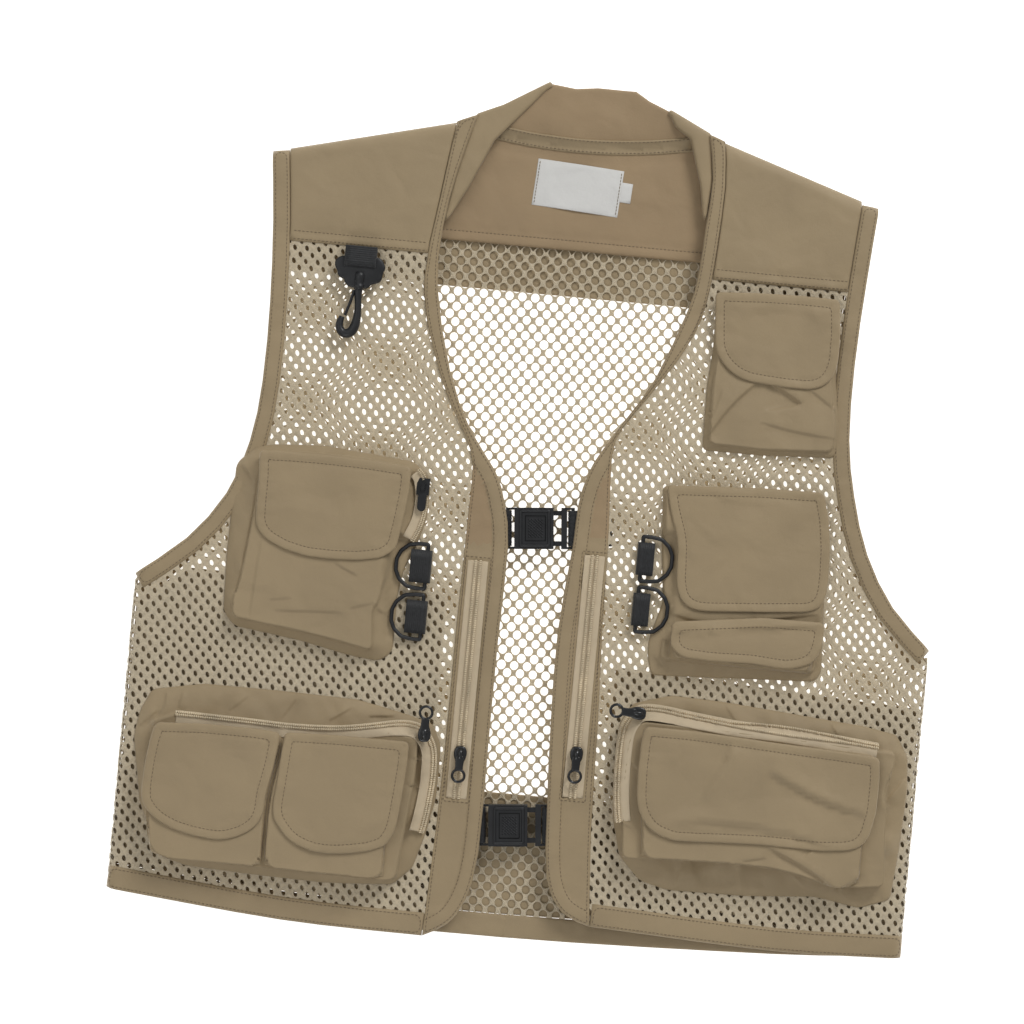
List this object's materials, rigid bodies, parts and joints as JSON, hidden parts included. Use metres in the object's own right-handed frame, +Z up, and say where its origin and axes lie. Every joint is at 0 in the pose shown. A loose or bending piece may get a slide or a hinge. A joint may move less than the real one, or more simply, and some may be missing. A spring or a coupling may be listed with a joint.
{
  "type": "fishing vest",
  "caption": "Sleeveless mesh vest lying flat: flapped bellows pockets, zips, two strap buckles, D-rings, a swivel snap hook and a stand collar.",
  "frame": {"origin": "middle of the vest's footprint, on the surface it lies on", "axes": "+X towards the front with the two stacked flaps (right as seen from above), +Y towards the collar, +Z up, away from the back panel"},
  "size_m": [0.56, 0.603, 0.0388],
  "materials": {
    "tan_fabric": "plain-weave nylon with a faint sheen",
    "lining_fabric": "plain-weave lining, warmer and matt",
    "mesh_fabric": "knitted mesh with round holes",
    "zip_tape": "woven zip tape and nylon coil",
    "webbing": "ribbed polypropylene webbing",
    "black_plastic": "satin moulded acetal",
    "black_metal": "gloss black enamel on zinc",
    "label": "plain white woven label"
  },
  "bodies": {
    "root": {"back_mesh_panel": "mesh_fabric", "back_yoke": "tan_fabric", "yoke_facing": "lining_fabric", "rear_pocket": "tan_fabric", "front_mesh_left": "mesh_fabric", "front_mesh_right": "mesh_fabric", "shoulder_yoke_left": "tan_fabric", "shoulder_yoke_right": "tan_fabric", "placket_left": "tan_fabric", "placket_right": "tan_fabric", "armhole_binding_left": "tan_fabric", "armhole_binding_right": "tan_fabric", "hem_band_left": "tan_fabric", "hem_band_right": "tan_fabric", "collar_band": "tan_fabric", "chest_pocket": "tan_fabric", "upper_pocket": "tan_fabric", "mid_pocket": "tan_fabric", "lower_pocket_left": "tan_fabric", "lower_pocket_right": "tan_fabric", "lower_patch_outer": "tan_fabric", "lower_patch_inner": "tan_fabric", "zip_placket_left": "zip_tape", "zip_placket_right": "zip_tape", "ring_webbing_left": "webbing", "ring_webbing_right": "webbing", "strap_upper_left": "webbing", "strap_lower_left": "webbing", "buckle_female_upper": "black_plastic", "buckle_female_lower": "black_plastic", "hook_tab": "webbing"},
    "chest_flap": {"chest_flap": "tan_fabric"},
    "upper_flap": {"upper_flap": "tan_fabric"},
    "mid_flap_upper": {"mid_flap_upper": "tan_fabric"},
    "mid_flap_lower": {"mid_flap_lower": "tan_fabric"},
    "lower_left_flap_outer": {"lower_left_flap_outer": "tan_fabric"},
    "lower_left_flap_inner": {"lower_left_flap_inner": "tan_fabric"},
    "lower_right_flap": {"lower_right_flap": "tan_fabric"},
    "zip_slider_placket_left": {"zip_slider_placket_left": "black_metal"},
    "zip_pull_placket_left": {"zip_pull_placket_left": "black_metal"},
    "zip_slider_placket_right": {"zip_slider_placket_right": "black_metal"},
    "zip_pull_placket_right": {"zip_pull_placket_right": "black_metal"},
    "zip_slider_lower_left": {"zip_slider_lower_left": "black_metal"},
    "zip_pull_lower_left": {"zip_pull_lower_left": "black_metal"},
    "zip_slider_lower_right": {"zip_slider_lower_right": "black_metal"},
    "zip_pull_lower_right": {"zip_pull_lower_right": "black_metal"},
    "zip_slider_chest": {"zip_slider_chest": "black_metal"},
    "buckle_male_upper": {"buckle_male_upper": "black_plastic", "strap_upper_right": "webbing"},
    "buckle_button_upper": {"buckle_button_upper": "black_plastic"},
    "buckle_male_lower": {"buckle_male_lower": "black_plastic", "strap_lower_right": "webbing"},
    "buckle_button_lower": {"buckle_button_lower": "black_plastic"},
    "d_ring_upper_left": {"d_ring_upper_left": "black_plastic"},
    "d_ring_lower_left": {"d_ring_lower_left": "black_plastic"},
    "d_ring_upper_right": {"d_ring_upper_right": "black_plastic"},
    "d_ring_lower_right": {"d_ring_lower_right": "black_plastic"},
    "hook_loop": {"hook_loop": "black_plastic"},
    "snap_hook": {"snap_hook": "black_plastic"},
    "snap_hook_gate": {"snap_hook_gate": "black_plastic"}
  },
  "joints": [
    {"name": "chest_flap_hinge", "type": "hinge", "parent": "root", "child": "chest_flap", "pos_m": [-0.199, 0.0265, 0.0288], "axis": [-1, 0.009, 0], "range_deg": [0, 150]},
    {"name": "upper_flap_hinge", "type": "hinge", "parent": "root", "child": "upper_flap", "pos_m": [0.106, 0.1655, 0.0243], "axis": [-0.9995, -0.03, 0], "range_deg": [0, 150]},
    {"name": "mid_flap_upper_hinge", "type": "hinge", "parent": "root", "child": "mid_flap_upper", "pos_m": [0.099, 0.0295, 0.0238], "axis": [-0.9994, -0.035, 0], "range_deg": [0, 150]},
    {"name": "mid_flap_lower_hinge", "type": "hinge", "parent": "root", "child": "mid_flap_lower", "pos_m": [0.1, -0.0585, 0.0298], "axis": [-0.9998, -0.02, 0], "range_deg": [0, 95]},
    {"name": "lower_left_flap_outer_hinge", "type": "hinge", "parent": "root", "child": "lower_left_flap_outer", "pos_m": [-0.254, -0.167, 0.0388], "axis": [-1, 0, 0], "range_deg": [0, 150]},
    {"name": "lower_left_flap_inner_hinge", "type": "hinge", "parent": "root", "child": "lower_left_flap_inner", "pos_m": [-0.163, -0.1685, 0.0388], "axis": [-0.999, -0.045, 0], "range_deg": [0, 150]},
    {"name": "lower_right_flap_hinge", "type": "hinge", "parent": "root", "child": "lower_right_flap", "pos_m": [0.085, -0.1365, 0.0388], "axis": [-0.9986, 0.052, 0], "range_deg": [0, 150]},
    {"name": "zip_slider_placket_left_slide", "type": "slide", "parent": "root", "child": "zip_slider_placket_left", "axis": [0, 1, 0], "range_m": [-0.024, 0.129]},
    {"name": "zip_pull_placket_left_hinge", "type": "hinge", "parent": "zip_slider_placket_left", "child": "zip_pull_placket_left", "pos_m": [-0.041, -0.1725, 0.0218], "axis": [-1, 0, 0], "range_deg": [0, 180]},
    {"name": "zip_slider_placket_right_slide", "type": "slide", "parent": "root", "child": "zip_slider_placket_right", "axis": [0, 1, 0], "range_m": [-0.023, 0.133]},
    {"name": "zip_pull_placket_right_hinge", "type": "hinge", "parent": "zip_slider_placket_right", "child": "zip_pull_placket_right", "pos_m": [0.04, -0.1655, 0.0218], "axis": [-1, 0, 0], "range_deg": [0, 180]},
    {"name": "zip_slider_lower_left_slide", "type": "slide", "parent": "root", "child": "zip_slider_lower_left", "axis": [0, -1, 0], "range_m": [0, 0.067]},
    {"name": "zip_pull_lower_left_hinge", "type": "hinge", "parent": "zip_slider_lower_left", "child": "zip_pull_lower_left", "pos_m": [-0.067, -0.159, 0.0356], "axis": [1, 0, 0], "range_deg": [0, 180]},
    {"name": "zip_slider_lower_right_slide", "type": "slide", "parent": "root", "child": "zip_slider_lower_right", "axis": [0.9986, -0.052, 0], "range_m": [0, 0.17]},
    {"name": "zip_pull_lower_right_hinge", "type": "hinge", "parent": "zip_slider_lower_right", "child": "zip_pull_lower_right", "pos_m": [0.079, -0.1314, 0.0356], "axis": [0.052, 0.9986, 0], "range_deg": [0, 180]},
    {"name": "zip_slider_chest_slide", "type": "slide", "parent": "root", "child": "zip_slider_chest", "axis": [0, -1, 0], "range_m": [0, 0.018]},
    {"name": "buckle_male_upper_slide", "type": "slide", "parent": "root", "child": "buckle_male_upper", "axis": [0.9962, 0.0872, 0], "range_m": [0, 0.024]},
    {"name": "buckle_button_upper_press", "type": "slide", "parent": "root", "child": "buckle_button_upper", "axis": [0, 0, -1], "range_m": [0, 0.0015], "stiffness_N_per_m": 300},
    {"name": "buckle_male_lower_slide", "type": "slide", "parent": "root", "child": "buckle_male_lower", "axis": [0.9962, 0.0872, 0], "range_m": [0, 0.024]},
    {"name": "buckle_button_lower_press", "type": "slide", "parent": "root", "child": "buckle_button_lower", "axis": [0, 0, -1], "range_m": [0, 0.0015], "stiffness_N_per_m": 300},
    {"name": "d_ring_upper_left_hinge", "type": "hinge", "parent": "root", "child": "d_ring_upper_left", "pos_m": [-0.0765, -0.044, 0.0192], "axis": [0, 1, 0], "range_deg": [0, 180]},
    {"name": "d_ring_lower_left_hinge", "type": "hinge", "parent": "root", "child": "d_ring_lower_left", "pos_m": [-0.0765, -0.0795, 0.0192], "axis": [0, 1, 0], "range_deg": [0, 180]},
    {"name": "d_ring_upper_right_hinge", "type": "hinge", "parent": "root", "child": "d_ring_upper_right", "pos_m": [0.0725, -0.0245, 0.0192], "axis": [0, -1, 0], "range_deg": [0, 180]},
    {"name": "d_ring_lower_right_hinge", "type": "hinge", "parent": "root", "child": "d_ring_lower_right", "pos_m": [0.0725, -0.06, 0.0192], "axis": [0, -1, 0], "range_deg": [0, 180]},
    {"name": "hook_loop_hinge", "type": "hinge", "parent": "root", "child": "hook_loop", "pos_m": [-0.142, 0.166, 0.023], "axis": [-1, 0, 0], "range_deg": [0, 160]},
    {"name": "snap_hook_swivel", "type": "hinge", "parent": "hook_loop", "child": "snap_hook", "pos_m": [-0.142, 0.1462, 0.023], "axis": [0, 1, 0], "continuous": true},
    {"name": "snap_hook_gate_hinge", "type": "hinge", "parent": "snap_hook", "child": "snap_hook_gate", "pos_m": [-0.1474, 0.1392, 0.023], "axis": [0, 0, 1], "range_deg": [0, 20], "stiffness_Nm_per_rad": 0.01}
  ]
}
